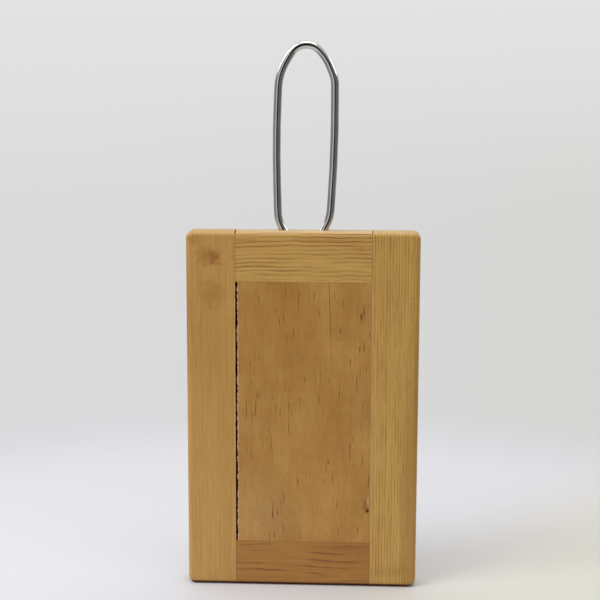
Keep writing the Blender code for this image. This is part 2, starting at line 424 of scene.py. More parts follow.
pineNoises = {
    "quick": ((120, 120, 22), 3.0, 0.55, 3.0),
    "streak": ((520, 520, 9), 3.0, 0.6, 5.0),
    "fibre": ((1300, 1300, 60), 2.0, 0.6, 7.0),
    "blush": ((30, 30, 9), 2.0, 0.5, 11.0),
}
pineTones = {
    "years": ((0.43, 2, 3), 1.0, 0.5, 9.0),
    "waveAcross": 14,
    "breakAcross": 90,
    "unbroken": 0.66,
    "least": 0.14,
    "range": (-0.15, 1.15),
    "blushRange": (0.45, 0.75),
    "speck": (0.78, 0.60, 0.34),
    "roughness": 0.46,
    "gloss": 0.45,
}


def pineFinish(name, facts):
    # growth rings round a pith, cut through by the stick's faces, with fibres and marks
    paint = Paint(name)
    x, through, z = paint.objectPlace()
    across, along = (x, z) if facts["grain"] == "up" else (z, x)
    where = (across, through, along)
    seed = facts["seed"]
    grain = paint.grain(where, pineNoises, seed)
    streak = grain["streak"] - 0.5
    fibre = grain["fibre"] - 0.5
    wide, narrow = pineTones["waveAcross"], pineTones["breakAcross"]
    slow = paint.noise(where, ((wide, wide, facts["waveRate"]), 2.0, 0.5, 0.0), seed) - 0.5
    aside = across - facts["pith"][0] + along * facts["slope"]
    behind = through - facts["pith"][1]
    reach = paint.maths("SQRT", aside * aside + behind * behind)
    reach = reach + slow * facts["wave"] + (grain["quick"] - 0.5) * facts["ripple"]
    for knot in facts.get("knots", ()):
        side = (across - knot["across"]) * (1.0 / knot["wide"])
        down = (along - knot["along"]) * (1.0 / knot["tall"])
        reach = reach + paint.maths("EXPONENT", (side * side + down * down) * -0.5) * knot["push"]
    phase = reach * (1.0 / facts["ring"])
    late = paint.curve(paint.maths("FRACT", phase), facts["ringCurve"])
    yearly = paint.noise((phase, through, along), pineTones["years"], seed)
    broken = paint.noise(where, ((narrow, narrow, facts["breakRate"]), 2.0, 0.5, 10.0), seed)
    late = late * paint.rise(yearly, *facts["years"])
    late = late * paint.rise(broken, facts["broken"], pineTones["unbroken"])
    for start, end, amount in facts.get("calm", ()):
        late = late * (1.0 - paint.rise(across, start, end) * amount)
    darkness = late * facts["contrast"] + streak * facts["streak"] + fibre * facts["fibre"]
    darkness = paint.rise(darkness + pineTones["least"], *pineTones["range"])
    color = paint.mix(darkness, facts["early"], facts["late"])
    blush = paint.rise(grain["blush"], *pineTones["blushRange"]) * facts["blushAmount"]
    color = paint.mix(blush, color, facts["blush"])
    color = addMarks(paint, color, across, through, along, facts)
    color = addSpecks(paint, color, where, seed, pineTones["speck"])
    # painted top light on the crown, painted shadow along the foot, painted shade inside the joints, plus
    # seam lines and splinters
    color, dark = addPaintedLightAndGrime(paint, color, x, through, z, facts)
    relief = fibre * 0.7 - late * 0.20 + streak * 0.4
    shader = paint.add(
        "BsdfPrincipled",
        {},
        {
            "Base Color": color,
            "Roughness": late * -0.08 + fibre * 0.20 + pineTones["roughness"],
            "Normal": paint.bump(relief, 0.30, 0.12 * mm),
            "Specular IOR Level": pineTones["gloss"],
        },
    )
    return addDullDark(paint, shader, dark)


softRing = ((0.0, 0.25), (0.35, 0.0), (0.72, 0.35), (0.90, 1.0), (1.0, 0.25))
thinRing = ((0.0, 0.05), (0.20, 0.0), (0.62, 0.10), (0.84, 1.0), (0.93, 0.9), (1.0, 0.05))

leftPineFacts = {
    "grain": "up", "seed": 2.0, "pith": (-125 * mm, 46 * mm), "slope": 0.012,
    "ring": 1.9 * mm, "ringCurve": softRing, "wave": 4 * mm, "waveRate": 5, "ripple": 0.8 * mm,
    "contrast": 0.26, "streak": 1.05, "fibre": 1.05, "broken": 0.34, "breakRate": 9, "years": (0.22, 0.70),
    "early": (0.565, 0.318, 0.086), "late": (0.320, 0.138, 0.018),
    "blush": (0.440, 0.205, 0.040), "blushAmount": 0.35,
    "walls": ((leftJoint, 0.4 * mm),), "rim": leftJoint, "tufts": 0.60,
    # painted top light on the crown
    "paintedTopLight": (0.330, 0.250, 0.130), "paintedTopLightAmount": 0.45,
    "knots": (
        {"across": -69.5 * mm, "along": 259.5 * mm, "wide": 8 * mm, "tall": 9 * mm, "push": 5 * mm},
        {"across": -69.0 * mm, "along": 231.0 * mm, "wide": 8 * mm, "tall": 12 * mm, "push": 2.5 * mm},
    ),
    "stains": (
        {"across": -72.0 * mm, "along": 260.5 * mm, "wide": 10 * mm, "tall": 8 * mm,
         "strength": 0.50, "ragged": 2.2, "color": (0.330, 0.125, 0.020), "deep": True},
        {"across": -68.5 * mm, "along": 260.0 * mm, "wide": 4.4 * mm, "tall": 4.6 * mm,
         "strength": 0.52, "ragged": 1.5, "color": (0.270, 0.076, 0.010), "deep": True},
        {"across": -69.5 * mm, "along": 254.6 * mm, "wide": 12 * mm, "tall": 0.9 * mm,
         "strength": 0.32, "ragged": 2.2, "color": (0.300, 0.085, 0.012), "deep": True},
        {"across": -84.0 * mm, "along": 274.0 * mm, "wide": 5 * mm, "tall": 7 * mm,
         "strength": 0.35, "ragged": 1.8, "color": (0.300, 0.120, 0.030)},
        {"across": -70.0 * mm, "along": 232.0 * mm, "wide": 11 * mm, "tall": 12 * mm,
         "strength": 0.42, "ragged": 2.0, "color": (0.340, 0.140, 0.022)},
        {"across": -90.5 * mm, "along": 215.0 * mm, "wide": 4 * mm, "tall": 62 * mm,
         "strength": 0.55, "ragged": 0.8, "color": (0.330, 0.100, 0.035)},
        {"across": -72.0 * mm, "along": 195.0 * mm, "wide": 14 * mm, "tall": 42 * mm,
         "strength": 0.22, "ragged": 1.2, "color": (0.380, 0.165, 0.030)},
        {"across": -60.0 * mm, "along": 110.0 * mm, "wide": 9 * mm, "tall": 60 * mm,
         "strength": 0.18, "ragged": 1.2, "color": (0.400, 0.175, 0.034)},
    ),
}
rightPineFacts = {
    "grain": "up", "seed": 21.0, "pith": (-240 * mm, 30 * mm), "slope": 0.004,
    "ring": 2.3 * mm, "ringCurve": thinRing, "wave": 2.6 * mm, "waveRate": 4, "ripple": 0.8 * mm,
    "contrast": 0.54, "streak": 0.85, "fibre": 1.05, "broken": 0.22, "breakRate": 13, "years": (0.05, 0.48),
    "calm": ((80 * mm, 86 * mm, 0.40), (60 * mm, 56 * mm, 0.40)),
    "early": (0.600, 0.358, 0.094), "late": (0.235, 0.098, 0.015),
    "blush": (0.440, 0.240, 0.060), "blushAmount": 0.30,
    "walls": ((rightJoint, 0.1 * mm),), "rim": rightJoint, "tufts": 0.30,
    # painted top light on the crown
    "paintedTopLight": (0.360, 0.330, 0.190), "paintedTopLightAmount": 0.45,
    "stains": (
        {"across": 87.0 * mm, "along": 60.0 * mm, "wide": 11 * mm, "tall": 150 * mm, "core": 0.4,
         "strength": 0.50, "ragged": 0.7, "color": (0.370, 0.175, 0.034)},
        {"across": 70.0 * mm, "along": 13.0 * mm, "wide": 18 * mm, "tall": 5 * mm,
         "strength": 0.25, "ragged": 1.5, "color": (0.300, 0.130, 0.025)},
    ),
    "scars": (
        {"across": 82.5 * mm, "along": 227.0 * mm, "lean": -12.0, "shake": 0.5 * mm, "wide": 3.4 * mm,
         "long": 0.9 * mm, "strength": 0.55, "color": (0.66, 0.47, 0.22)},
    ),
}
topPineFacts = {
    "grain": "across", "seed": 40.0, "pith": (395 * mm, 26 * mm), "slope": -0.012,
    "ring": 3.15 * mm, "ringCurve": thinRing, "wave": 7.5 * mm, "waveRate": 20, "ripple": 2.8 * mm,
    "contrast": 0.90, "streak": 0.60, "fibre": 0.75, "broken": 0.26, "breakRate": 14, "years": (0.16, 0.62),
    "early": (0.630, 0.380, 0.105), "late": (0.250, 0.092, 0.018),
    "blush": (0.420, 0.165, 0.040), "blushAmount": 0.35,
    "walls": ((leftJoint, 0.3 * mm), (rightJoint, 0.3 * mm)),
    # painted top light on the crown
    "paintedTopLight": (0.430, 0.440, 0.320), "paintedTopLightAmount": 0.38,
    "seams": (leftJoint, rightJoint),
    "stains": (
        {"across": 273.0 * mm, "along": 22.0 * mm, "wide": 2.2 * mm, "tall": 34 * mm,
         "strength": 0.30, "ragged": 1.6, "color": (0.360, 0.110, 0.025)},
        {"across": 266.5 * mm, "along": 44.0 * mm, "wide": 1.8 * mm, "tall": 12 * mm,
         "strength": 0.40, "ragged": 1.6, "color": (0.330, 0.090, 0.020)},
        {"across": 272.0 * mm, "along": -42.0 * mm, "wide": 2.0 * mm, "tall": 12 * mm,
         "strength": 0.30, "ragged": 1.6, "color": (0.380, 0.130, 0.028)},
    ),
}
redPineFacts = {
    "grain": "across", "seed": 63.0, "pith": (-60 * mm, 40 * mm), "slope": 0.02,
    "ring": 4.6 * mm, "ringCurve": thinRing, "wave": 9 * mm, "waveRate": 16, "ripple": 3.6 * mm,
    "contrast": 0.92, "streak": 0.9, "fibre": 0.6, "broken": 0.40, "breakRate": 24, "years": (0.22, 0.70),
    "early": (0.450, 0.206, 0.040), "late": (0.150, 0.042, 0.008),
    "blush": (0.310, 0.100, 0.022), "blushAmount": 0.45,
    "walls": ((leftJoint, 0.3 * mm), (rightJoint, 0.3 * mm)),
    "seams": (leftJoint, rightJoint),
}
panelFacts = {
    "seed": 80.0,
    "early": (0.560, 0.305, 0.080), "late": (0.385, 0.178, 0.034),
    "pore": (0.185, 0.060, 0.008),
    "walls": ((panelLow.x, 8.6 * mm), (panelHigh.x, 7.9 * mm)), "rim": panelLow.x + 8 * mm, "tufts": 0.85,
    "stains": (
        {"across": -30.0 * mm, "along": 60.0 * mm, "wide": 26 * mm, "tall": 34 * mm,
         "strength": 0.32, "ragged": 1.4, "color": (0.500, 0.310, 0.120)},
        {"across": -40.0 * mm, "along": 128.0 * mm, "wide": 11 * mm, "tall": 8 * mm,
         "strength": 0.40, "ragged": 1.6, "color": (0.500, 0.300, 0.110)},
        {"across": 45.0 * mm, "along": 140.0 * mm, "wide": 6 * mm, "tall": 26 * mm,
         "strength": 0.38, "ragged": 1.4, "color": (0.440, 0.280, 0.100)},
        {"across": -15.0 * mm, "along": 215.0 * mm, "wide": 34 * mm, "tall": 26 * mm,
         "strength": 0.22, "ragged": 1.4, "color": (0.420, 0.185, 0.036)},
        {"across": 20.0 * mm, "along": 90.0 * mm, "wide": 30 * mm, "tall": 46 * mm,
         "strength": 0.24, "ragged": 1.4, "color": (0.430, 0.195, 0.040)},
        {"across": 49.5 * mm, "along": 66.5 * mm, "wide": 2.4 * mm, "tall": 6.0 * mm,
         "strength": 0.55, "ragged": 1.2, "color": (0.210, 0.085, 0.020)},
        {"across": 51.6 * mm, "along": 69.5 * mm, "wide": 1.3 * mm, "tall": 5.0 * mm,
         "strength": 0.55, "ragged": 0.8, "color": (0.620, 0.420, 0.170)},
    ),
    "scars": (
        {"across": 20.8 * mm, "along": 224.0 * mm, "lean": -0.035, "shake": 0.9 * mm,
         "wide": 0.42 * mm, "long": 62 * mm, "strength": 0.72, "color": (0.140, 0.045, 0.010)},
        {"across": -23.0 * mm, "along": 62.0 * mm, "lean": -0.55, "shake": 0.6 * mm,
         "wide": 0.45 * mm, "long": 20 * mm, "strength": 0.35, "color": (0.620, 0.420, 0.200)},
        {"across": -36.0 * mm, "along": 50.0 * mm, "lean": -0.80, "shake": 0.6 * mm,
         "wide": 0.45 * mm, "long": 14 * mm, "strength": 0.35, "color": (0.620, 0.420, 0.200)},
        {"across": -14.0 * mm, "along": 48.0 * mm, "lean": -0.40, "shake": 0.6 * mm,
         "wide": 0.40 * mm, "long": 16 * mm, "strength": 0.30, "color": (0.250, 0.110, 0.030)},
        {"across": 2.0 * mm, "along": 150.0 * mm, "lean": 2.2, "shake": 0.6 * mm,
         "wide": 0.70 * mm, "long": 5 * mm, "strength": 0.22, "color": (0.600, 0.390, 0.170)},
    ),
}
panelNoises = {
    "mottle": ((40, 40, 18), 3.0, 0.55, 0.0),
    "figure": ((60, 60, 150), 2.0, 0.5, 1.0),
    "streak": ((520, 520, 16), 3.0, 0.6, 3.0),
    "fibre": ((1300, 1300, 90), 2.0, 0.6, 5.0),
    "crowd": ((38, 38, 26), 1.0, 0.5, 8.0),
    "pore": ((820, 820, 76), 0.0, 0.4, 10.0),
    "smallPore": ((1500, 1500, 190), 0.0, 0.4, 12.0),
}
panelTones = {
    "range": (0.05, 1.10),
    "crowdRight": 1.5,
    "crowding": 0.30,
    "poreRange": (0.725, 0.82),
    "poreAmount": 0.80,
    "smallRange": (0.72, 0.80),
    "smallAmount": 0.24,
    "speck": (0.70, 0.50, 0.26),
    "roughness": 0.48,
    "gloss": 0.4,
}


def panelFinish(name, facts):
    # open-pored brown wood: soft mottling and short dark pores along the grain
    paint = Paint(name)
    tones = panelTones
    across, through, along = paint.objectPlace()
    where = (across, through, along)
    grain = paint.grain(where, panelNoises, facts["seed"])
    streak = grain["streak"] - 0.5
    fibre = grain["fibre"] - 0.5
    amount = grain["mottle"] * 1.3 + (grain["figure"] - 0.5) * 0.30 + streak * 0.45 + fibre * 0.55
    color = paint.mix(paint.rise(amount, *tones["range"]), facts["early"], facts["late"])
    color = addMarks(paint, color, across, through, along, facts)
    crowd = grain["crowd"] + across * tones["crowdRight"] - 0.5
    pore = paint.rise(grain["pore"] + crowd * tones["crowding"], *tones["poreRange"])
    color = paint.mix(pore * tones["poreAmount"], color, facts["pore"])
    small = paint.rise(grain["smallPore"], *tones["smallRange"])
    color = paint.mix(small * tones["smallAmount"], color, facts["pore"])
    color = addSpecks(paint, color, where, facts["seed"], tones["speck"])
    # painted shade on the walls inside the gap beside the panel, plus pale splinters on its rim
    color, dark = addPaintedLightAndGrime(paint, color, across, through, along, facts)
    shader = paint.add(
        "BsdfPrincipled",
        {},
        {
            "Base Color": color,
            "Roughness": fibre * 0.18 + tones["roughness"],
            "Normal": paint.bump(fibre * 0.5 - pore + streak * 0.4, 0.35, 0.15 * mm),
            "Specular IOR Level": tones["gloss"],
        },
    )
    return addDullDark(paint, shader, dark)


steelFacts = {
    "light": (0.64, 0.63, 0.61),
    "dull": (0.54, 0.53, 0.51),
    "dullRange": (0.35, 0.75),
    "roughness": 0.03,
}
steelNoises = {
    "lines": ((5200, 5200, 90), 3.0, 0.6, 4.0),
    "cloud": ((160, 160, 60), 3.0, 0.6, 9.0),
}


def steelFinish(name, facts):
    # drawn wire, rubbed bright, with faint lengthwise lines
    paint = Paint(name)
    grain = paint.grain(paint.objectPlace(), steelNoises)
    shader = paint.add(
        "BsdfPrincipled",
        {},
        {
            "Base Color": paint.mix(
                paint.rise(grain["cloud"], *facts["dullRange"]), facts["light"], facts["dull"]
            ),
            "Metallic": 1.0,
            "Roughness": grain["cloud"] * 0.08 + grain["lines"] * 0.06 + facts["roughness"],
            "Normal": paint.bump(grain["lines"], 0.04, 0.05 * mm),
        },
    )
    return paint.surface(shader)


beechFacts = {
    "light": (0.60, 0.40, 0.22),
    "fleck": (0.44, 0.26, 0.12),
    "fleckRange": (0.4, 0.7),
    "noise": ((180, 1500, 1500), 2.0, 0.5, 1.0),
    "roughness": 0.5,
}


def beechFinish(name, facts):
    # the dowels' pale wood, flecked along their length
    paint = Paint(name)
    fleck = paint.noise(paint.objectPlace(), facts["noise"])
    shader = paint.add(
        "BsdfPrincipled",
        {},
        {
            "Base Color": paint.mix(
                paint.rise(fleck, *facts["fleckRange"]), facts["light"], facts["fleck"]
            ),
            "Roughness": fleck * 0.2 + facts["roughness"],
            "Normal": paint.bump(fleck, 0.3, 0.1 * mm),
        },
    )
    return paint.surface(shader)


leftPine = pineFinish("left pine", leftPineFacts)
rightPine = pineFinish("right pine", rightPineFacts)
topPine = pineFinish("top pine", topPineFacts)
redPine = pineFinish("red pine", redPineFacts)
panelWood = panelFinish("panel wood", panelFacts)
brightSteel = steelFinish("bright steel", steelFacts)
beech = beechFinish("beech", beechFacts)
print("finishes made")


stickFacts = {
    "topLeft": 6.3 * mm,
    "topRight": 5.8 * mm,
    "bottomLeft": 5.5 * mm,
    "bottomRight": 7.0 * mm,
    "cornerSteps": 10,
    "roundOver": 4.3 * mm,
    "roundSteps": 8,
    "arris": 0.12 * mm,
    "arrisSteps": 2,
    "seam": 0.06 * mm,
    "clearance": 0.3 * mm,
    "overrun": 4 * mm,
    "groove": 8 * mm,
    "tongue": 6 * mm,
}
handleFacts = {
    "wire": 3.0 * mm,
    "sides": 36,
    "stepDegrees": 4.0,
    "doubles": 0.002 * mm,
    "endReach": 1e-8,
    "leftToe": 34.0,
    "rightToe": 28.5,
    "legDepth": 14.5 * mm,
    # corner's x, its height above the board, the bend's radius
    "bends": (
        (-19.20 * mm, 6.1 * mm, 27.0 * mm),
        (-20.95 * mm, 67.0 * mm, 880.0 * mm),
        (-18.75 * mm, 118.0 * mm, 41.5 * mm),
        (-0.65 * mm, 148.0 * mm, 13.6 * mm),
        (16.90 * mm, 129.7 * mm, 35.7 * mm),
        (23.50 * mm, 114.2 * mm, 26.5 * mm),
        (23.85 * mm, 60.5 * mm, 1040.0 * mm),
        (20.40 * mm, 8.9 * mm, 29.7 * mm),
    ),
}


def legPoint(side, depth):
    # where a straight leg is at a depth below the board's top edge
    footX, footRise, _ = handleFacts["bends"][0 if side == "left" else -1]
    toe = math.radians(handleFacts["leftToe"] if side == "left" else handleFacts["rightToe"])
    inward = 1.0 if side == "left" else -1.0
    return Vector((footX + inward * math.tan(toe) * (footRise + depth), 0.0, boardHigh.z - depth))


pinFacts = {
    "head": 0.8 * mm,
    "headEase": 0.30 * mm,
    "headSteps": 4,
    "shank": 1.25 * mm,
    "tip": 2.2 * mm,
    "tipRadius": 0.25 * mm,
    "sides": 40,
}
raggedFacts = {
    "splinters": 100,
    "uniform": 0.9,
    "ends": 1 * mm,
    "stileBite": 0.30 * mm,
    "stileSet": 0.05 * mm,
    "stileDepth": 3 * mm,
    "stileSeed": 11,
    "panelBite": 0.55 * mm,
    "panelSeed": 7,
}


def drill(start, end, radius, sides=32):
    clearPick()
    span = end - start
    turned = span.to_track_quat("Z", "Y").to_euler()
    bpy.ops.mesh.primitive_cylinder_add(
        vertices=sides, radius=radius, depth=span.length, location=(start + end) / 2, rotation=turned
    )
    bpy.ops.object.transform_apply(location=True, rotation=True, scale=True)
    return bpy.context.object


def joinAll(pieces, name):
    clearPick()
    for piece in pieces:
        piece.select_set(True)
    bpy.context.view_layer.objects.active = pieces[0]
    bpy.ops.object.join()
    pieces[0].name = name
    return pieces[0]


def makeDrills():
    # the cutters for the dowels' holes, the legs' holes and the pins' holes
    gap, overrun = stickFacts["clearance"], stickFacts["overrun"]
    dowels, legs, pins = [], [], []
    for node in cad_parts:
        low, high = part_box(node)
        middle = (low + high) / 2
        if node.startswith("dowel_"):
            radius = (high.z - low.z) / 2 + gap
            start = Vector((low.x - gap, middle.y, middle.z))
            end = Vector((high.x + gap, middle.y, middle.z))
            dowels.append(drill(start, end, radius))
        if node.startswith("handle_pin_"):
            headRadius = (high.z - low.z) / 2
            headBase = Vector((middle.x, high.y - pinFacts["head"] - gap, middle.z))
            point = Vector((middle.x, low.y - gap, middle.z))
            pins.append(drill(point, headBase + Vector((0, gap, 0)), pinFacts["shank"] + gap))
            pins.append(drill(headBase, headBase + Vector((0, overrun, 0)), headRadius + gap))
    for side in ("left", "right"):
        mouth = legPoint(side, -overrun / 2)
        bottom = legPoint(side, handleFacts["legDepth"] + gap)
        legs.append(drill(mouth, bottom, handleFacts["wire"] + gap))
    shank = joinAll([pins[0], pins[2]], "pin shanks")
    heads = joinAll([pins[1], pins[3]], "pin heads")
    return joinAll(dowels, "dowel drills"), joinAll(legs, "leg drills"), shank, heads


def makeStick(name, low, high, corners, joints):
    # a block with its outer corners and edges rounded and its joint edges just eased
    piece = addBlock(name, low, high)
    front, rear = low[1], high[1]
    openMesh(piece)
    for cornerX, cornerZ, radius in corners:
        pickEdges(piece, lambda a, b: near(a.x, cornerX) and near(b.x, cornerX)
                  and near(a.z, cornerZ) and near(b.z, cornerZ))
        roundEdges(radius, stickFacts["cornerSteps"])

    def onJoint(a, b):
        return any(near(a[axis], place) and near(b[axis], place) for axis, place in joints)

    def onRim(a, b):
        return (near(a.y, front) and near(b.y, front)) or (near(a.y, rear) and near(b.y, rear))

    pickEdges(piece, lambda a, b: onRim(a, b) and not onJoint(a, b))
    roundEdges(stickFacts["roundOver"], stickFacts["roundSteps"])
    pickEdges(piece, onJoint)
    roundEdges(stickFacts["arris"], stickFacts["arrisSteps"])
    closeMesh()
    return piece


def makeRagged(piece, edgeX, frontY, amount, seed):
    # the block's front edge at edgeX broken into splinters
    openMesh(piece)
    pickEdges(piece, lambda a, b: near(a.x, edgeX) and near(b.x, edgeX) and abs(a.z - b.z) > 50 * mm)
    bpy.ops.mesh.subdivide(number_cuts=raggedFacts["splinters"])
    low, high = sillTop + raggedFacts["ends"], railLow.z - raggedFacts["ends"]
    pickVerts(piece, lambda at: near(at.x, edgeX) and near(at.y, frontY) and low < at.z < high)
    bpy.ops.transform.vertex_random(
        offset=amount, uniform=raggedFacts["uniform"], normal=0.0, seed=seed
    )
    bpy.ops.transform.resize(value=(1.0, 0.0, 1.0), center_override=(edgeX, frontY, 0.0))
    closeMesh()


def makeSticks():
    dowelDrills, legDrills, pinShanks, pinHeads = makeDrills()
    facts = stickFacts
    gap = facts["clearance"]
    groove = addBlock(
        "groove",
        (leftJoint - facts["groove"], panelHigh.y - facts["tongue"] - gap, panelLow.z - gap),
        (rightJoint + facts["groove"], panelHigh.y + gap, panelHigh.z + gap),
    )
    front, rear = boardLow.y, boardHigh.y
    railLeft, railRight = leftJoint + facts["seam"], rightJoint - facts["seam"]
    leftStile = makeStick(
        "leftStile",
        (boardLow.x, front, boardLow.z), (leftJoint, rear, boardHigh.z),
        ((boardLow.x, boardHigh.z, facts["topLeft"]), (boardLow.x, boardLow.z, facts["bottomLeft"])),
        ((0, leftJoint),),
    )
    rightStile = makeStick(
        "rightStile",
        (rightJoint, front, boardLow.z), (boardHigh.x, rear, boardHigh.z),
        ((boardHigh.x, boardHigh.z, facts["topRight"]), (boardHigh.x, boardLow.z, facts["bottomRight"])),
        ((0, rightJoint),),
    )
    topRail = makeStick(
        "topRail",
        (railLeft, front, railLow.z), (railRight, rear, boardHigh.z), (),
        ((0, railLeft), (0, railRight), (2, railLow.z)),
    )
    bottomRail = makeStick(
        "bottomRail",
        (railLeft, front, boardLow.z), (railRight, rear, sillTop), (),
        ((0, railLeft), (0, railRight), (2, sillTop)),
    )
    for piece in (leftStile, rightStile, topRail, bottomRail):
        cutWith(piece, groove)
        cutWith(piece, dowelDrills)
    for cutter in (legDrills, pinShanks, pinHeads):
        cutWith(topRail, cutter)
    splinterEdge = leftJoint - raggedFacts["stileSet"]
    splinterFront = front - raggedFacts["ends"]
    splinters = addBlock(
        "splinters",
        (splinterEdge, splinterFront, sillTop),
        (leftJoint + raggedFacts["ends"], front + raggedFacts["stileDepth"], railLow.z),
    )
    makeRagged(
        splinters, splinterEdge, splinterFront, raggedFacts["stileBite"], raggedFacts["stileSeed"]
    )
    cutWith(leftStile, splinters)
    throwAway(splinters)
    for cutter in (groove, dowelDrills, legDrills, pinHeads):
        throwAway(cutter)
    for piece in (leftStile, rightStile, topRail, bottomRail):
        smoothOff(piece)
    finishPiece(leftStile, leftPine, "left_stile")
    finishPiece(rightStile, rightPine, "right_stile")
    finishPiece(topRail, topPine, "top_rail")
    finishPiece(bottomRail, redPine, "bottom_rail")
    return pinShanks


pinShanks = makeSticks()
print("frame sticks made")


panelShape = {
    "fit": 0.06 * mm,
    "chipAt": (51.3 * mm, -9.6 * mm, 61.5 * mm),
    "chipSize": (1.3 * mm, 2.2 * mm, 1.9 * mm),
    "chipRough": 0.25 * mm,
    "chipUniform": 0.8,
    "chipSeed": 3,
}


def makePanel(facts):
    # a field flush with the frame's front, on a wider tongue that sits in the groove
    tongueFront = panelHigh.y - stickFacts["tongue"]
    rebate = stickFacts["groove"]
    easy = facts["fit"]
    fieldLow = Vector((panelLow.x + rebate, boardLow.y, sillTop + easy))
    fieldHigh = Vector((rightJoint - easy, tongueFront, railLow.z - easy))
    piece = addBlock("panelBoard", fieldLow, fieldHigh)
    openMesh(piece)
    pickFaces(piece, lambda centre, normal: normal.y > 0.9)
    bpy.ops.mesh.extrude_region_move(TRANSFORM_OT_translate={"value": (0, 0, 0)})
    middle = (fieldLow + fieldHigh) / 2
    bpy.ops.transform.resize(
        value=(
            (panelHigh.x - panelLow.x) / (fieldHigh.x - fieldLow.x), 1.0,
            (panelHigh.z - panelLow.z) / (fieldHigh.z - fieldLow.z),
        ),
        center_override=(middle.x, tongueFront, middle.z),
    )
    bpy.ops.transform.translate(value=(
        (panelLow.x + panelHigh.x) / 2 - middle.x, 0.0, (panelLow.z + panelHigh.z) / 2 - middle.z
    ))
    bpy.ops.mesh.extrude_region_move(TRANSFORM_OT_translate={"value": (0, stickFacts["tongue"], 0)})
    bpy.ops.mesh.select_all(action="SELECT")
    bpy.ops.mesh.normals_make_consistent(inside=False)
    closeMesh()
    clearPick()
    bpy.ops.mesh.primitive_uv_sphere_add(segments=20, ring_count=12, radius=1.0, location=(0, 0, 0))
    chip = bpy.context.object
    chip.scale = facts["chipSize"]
    chip.location = facts["chipAt"]
    bpy.ops.object.transform_apply(location=True, rotation=True, scale=True)
    openMesh(chip)
    bpy.ops.mesh.select_all(action="SELECT")
    bpy.ops.transform.vertex_random(
        offset=facts["chipRough"], uniform=facts["chipUniform"], normal=0.0, seed=facts["chipSeed"]
    )
    closeMesh()
    cutWith(piece, chip, True)
    throwAway(chip)
    makeRagged(piece, fieldLow.x, boardLow.y, raggedFacts["panelBite"], raggedFacts["panelSeed"])
    smoothOff(piece)
    finishPiece(piece, panelWood, "panel")


makePanel(panelShape)
print("panel made")


def makeHandle(facts):
    # a ring pushed along the path: straight on to each bend, then spun round it
    corners = [Vector((x, 0.0, boardHigh.z + rise)) for x, rise, _ in facts["bends"]]
    corners.insert(0, legPoint("left", facts["legDepth"]))
    corners.append(legPoint("right", facts["legDepth"]))
    clearPick()
    heading = corners[1] - corners[0]
    bpy.ops.mesh.primitive_circle_add(
        vertices=facts["sides"], radius=facts["wire"], fill_type="NOTHING",
        location=corners[0], rotation=heading.to_track_quat("Z", "Y").to_euler(),
    )
    piece = bpy.context.object
    piece.name = "wireHandle"
    bpy.ops.object.transform_apply(location=True, rotation=True, scale=True)
    openMesh(piece)
    bpy.ops.mesh.select_all(action="SELECT")
    at = corners[0]
    for index, (_, _, radius) in enumerate(facts["bends"], start=1):
        corner = corners[index]
        back = (corners[index - 1] - corner).normalized()
        ahead = (corners[index + 1] - corner).normalized()
        turnAngle = math.pi - back.angle(ahead)
        bendStart = corner + back * radius * math.tan(turnAngle / 2)
        bendEnd = corner + ahead * radius * math.tan(turnAngle / 2)
        centre = corner + (back + ahead).normalized() * (radius / math.cos(turnAngle / 2))
        bpy.ops.mesh.extrude_region_move(TRANSFORM_OT_translate={"value": bendStart - at})
        bpy.ops.mesh.spin(
            steps=max(3, round(math.degrees(turnAngle) / facts["stepDegrees"])),
            angle=turnAngle,
            center=centre,
            axis=(bendEnd - centre).cross(bendStart - centre).normalized(),
        )
        at = bendEnd
    bpy.ops.mesh.extrude_region_move(TRANSFORM_OT_translate={"value": corners[-1] - at})
    bpy.ops.mesh.edge_face_add()
    bpy.ops.mesh.select_all(action="SELECT")
    bpy.ops.mesh.remove_doubles(threshold=facts["doubles"])

    def atStart(a, b):
        reach = facts["endReach"]
        return abs((a - corners[0]).dot(heading)) < reach and abs((b - corners[0]).dot(heading)) < reach

    pickEdges(piece, atStart)
    bpy.ops.mesh.edge_face_add()
    bpy.ops.mesh.select_all(action="SELECT")
    bpy.ops.mesh.normals_make_consistent(inside=False)
    closeMesh()
    cutWith(piece, pinShanks)
    throwAway(pinShanks)
    smoothOff(piece)
    finishPiece(piece, brightSteel, "wire_handle")


makeHandle(handleFacts)
print("wire handle made")


def makePin(node):
    # a flat-headed pin driven in from the back
    low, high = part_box(node)
    middle = (low + high) / 2
    headRadius = (high.z - low.z) / 2
    neck = high.y - pinFacts["head"]
    start = low.y + pinFacts["tip"]
    piece = drill(
        Vector((middle.x, start, middle.z)), Vector((middle.x, neck, middle.z)),
        pinFacts["shank"], pinFacts["sides"],
    )
    piece.name = node.replace("handle_pin_", "pin_")
    openMesh(piece)
    pickFaces(piece, lambda centre, normal: normal.y > 0.9)
    bpy.ops.mesh.extrude_region_move(TRANSFORM_OT_translate={"value": (0, 0, 0)})
    grow = headRadius / pinFacts["shank"]
    bpy.ops.transform.resize(value=(grow, 1.0, grow), center_override=(middle.x, neck, middle.z))
    bpy.ops.mesh.extrude_region_move(TRANSFORM_OT_translate={"value": (0, pinFacts["head"], 0)})
    pickEdges(piece, lambda a, b: near(a.y, high.y) and near(b.y, high.y))
    roundEdges(pinFacts["headEase"], pinFacts["headSteps"])
    pickFaces(piece, lambda centre, normal: normal.y < -0.9 and near(centre.y, start))
    bpy.ops.mesh.extrude_region_move(TRANSFORM_OT_translate={"value": (0, -pinFacts["tip"], 0)})
    shrink = pinFacts["tipRadius"] / pinFacts["shank"]
    bpy.ops.transform.resize(value=(shrink, 1.0, shrink), center_override=(middle.x, low.y, middle.z))
    closeMesh()
    smoothOff(piece)
    finishPiece(piece, brightSteel, node)


